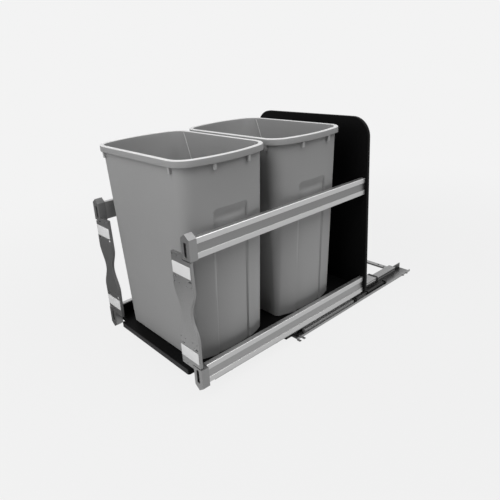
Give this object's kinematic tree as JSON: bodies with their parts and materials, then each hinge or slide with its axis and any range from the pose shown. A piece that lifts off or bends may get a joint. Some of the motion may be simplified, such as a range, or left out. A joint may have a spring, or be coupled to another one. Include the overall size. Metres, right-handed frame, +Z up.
{
  "type": "pull-out bin frame",
  "caption": "Pull-out bin frame for a base cabinet with lift-out bins, side rails, door plates, a black tray and back panel on telescoping soft-close runners.",
  "frame": {"origin": "on the cabinet floor, at the centre of the cabinet floor screw pattern", "axes": "+Z up, -Y the way the carriage pulls out, +X to the right seen from the back of the door"},
  "size_m": [0.367, 0.768, 0.4775],
  "materials": {
    "runner_steel": "zinc plated",
    "bright_steel": "bright",
    "black_plastic": "moulded",
    "grey_plastic": "moulded",
    "black_board": "black coated",
    "rail_aluminium": "satin anodised",
    "grey_coated_metal": "grey coated",
    "white_pad": "white backing",
    "bin_plastic": "fine grained"
  },
  "bodies": {
    "cabinet_base": {"right_cabinet_runner": "runner_steel", "left_cabinet_runner": "runner_steel", "rear_cross_bar": "runner_steel", "cross_bar_rivets": "bright_steel", "right_front_guide": "black_plastic", "left_front_guide": "black_plastic", "right_soft_close_housing": "grey_plastic", "left_soft_close_housing": "grey_plastic", "right_damper_barrel": "black_plastic", "left_damper_barrel": "black_plastic", "right_damper_end_cap": "black_plastic", "left_damper_end_cap": "black_plastic"},
    "carriage": {"right_carriage_runner": "runner_steel", "left_carriage_runner": "runner_steel", "right_catch_finger": "black_plastic", "left_catch_finger": "black_plastic", "base_tray": "black_board", "back_panel": "black_board", "upper_right_rail": "rail_aluminium", "upper_left_rail": "rail_aluminium", "lower_right_rail": "rail_aluminium", "lower_left_rail": "rail_aluminium", "upper_right_bracket": "grey_coated_metal", "upper_left_bracket": "grey_coated_metal", "lower_right_bracket": "grey_coated_metal", "lower_left_bracket": "grey_coated_metal", "bracket_screws": "bright_steel", "clamp_screws": "bright_steel", "panel_screws": "bright_steel", "tray_screws": "bright_steel", "rail_screws": "bright_steel"},
    "front_bin_body": {"front_bin": "bin_plastic"},
    "rear_bin_body": {"rear_bin": "bin_plastic"},
    "right_middle": {"right_middle_runner": "runner_steel", "right_end_collar": "black_plastic"},
    "right_lower_bearing": {"right_lower_ball_cage": "bright_steel", "right_lower_balls": "bright_steel"},
    "right_upper_bearing": {"right_upper_ball_cage": "bright_steel", "right_upper_balls": "bright_steel"},
    "right_soft_close": {"right_soft_close_slider": "black_plastic", "right_damper_rod": "bright_steel"},
    "right_door_side": {"right_door_plate": "grey_coated_metal", "right_adhesive_pads": "white_pad"},
    "left_middle": {"left_middle_runner": "runner_steel", "left_end_collar": "black_plastic"},
    "left_lower_bearing": {"left_lower_ball_cage": "bright_steel", "left_lower_balls": "bright_steel"},
    "left_upper_bearing": {"left_upper_ball_cage": "bright_steel", "left_upper_balls": "bright_steel"},
    "left_soft_close": {"left_soft_close_slider": "black_plastic", "left_damper_rod": "bright_steel"},
    "left_door_side": {"left_door_plate": "grey_coated_metal", "left_adhesive_pads": "white_pad"}
  },
  "joints": [
    {"name": "carriage_slide", "type": "slide", "parent": "cabinet_base", "child": "carriage", "axis": [0, -1, 0], "range_m": [-0.273, 0.172]},
    {"name": "front_bin_lift", "type": "slide", "parent": "carriage", "child": "front_bin_body", "axis": [0, 0, 1], "range_m": [0, 0.45]},
    {"name": "rear_bin_lift", "type": "slide", "parent": "carriage", "child": "rear_bin_body", "axis": [0, 0, 1], "range_m": [0, 0.45]},
    {"name": "right_middle_slide", "type": "slide", "parent": "cabinet_base", "child": "right_middle", "axis": [0, -1, 0], "range_m": [-0.1365, 0.086]},
    {"name": "right_lower_bearing_slide", "type": "slide", "parent": "cabinet_base", "child": "right_lower_bearing", "axis": [0, -1, 0], "range_m": [-0.06825, 0.043]},
    {"name": "right_upper_bearing_slide", "type": "slide", "parent": "cabinet_base", "child": "right_upper_bearing", "axis": [0, -1, 0], "range_m": [-0.20475, 0.129]},
    {"name": "right_soft_close_slide", "type": "slide", "parent": "cabinet_base", "child": "right_soft_close", "axis": [0, 1, 0], "range_m": [0, 0.045]},
    {"name": "right_door_plate_height", "type": "slide", "parent": "carriage", "child": "right_door_side", "axis": [0, 0, 1], "range_m": [-0.002, 0.002]},
    {"name": "left_middle_slide", "type": "slide", "parent": "cabinet_base", "child": "left_middle", "axis": [0, -1, 0], "range_m": [-0.1365, 0.086]},
    {"name": "left_lower_bearing_slide", "type": "slide", "parent": "cabinet_base", "child": "left_lower_bearing", "axis": [0, -1, 0], "range_m": [-0.06825, 0.043]},
    {"name": "left_upper_bearing_slide", "type": "slide", "parent": "cabinet_base", "child": "left_upper_bearing", "axis": [0, -1, 0], "range_m": [-0.20475, 0.129]},
    {"name": "left_soft_close_slide", "type": "slide", "parent": "cabinet_base", "child": "left_soft_close", "axis": [0, 1, 0], "range_m": [0, 0.045]},
    {"name": "left_door_plate_height", "type": "slide", "parent": "carriage", "child": "left_door_side", "axis": [0, 0, 1], "range_m": [-0.002, 0.002]}
  ],
  "couplings": [
    {"joint": "right_middle_slide", "follows": "carriage_slide", "ratio": 0.5},
    {"joint": "right_lower_bearing_slide", "follows": "carriage_slide", "ratio": 0.25},
    {"joint": "right_upper_bearing_slide", "follows": "carriage_slide", "ratio": 0.75},
    {"joint": "left_middle_slide", "follows": "carriage_slide", "ratio": 0.5},
    {"joint": "left_lower_bearing_slide", "follows": "carriage_slide", "ratio": 0.25},
    {"joint": "left_upper_bearing_slide", "follows": "carriage_slide", "ratio": 0.75}
  ]
}
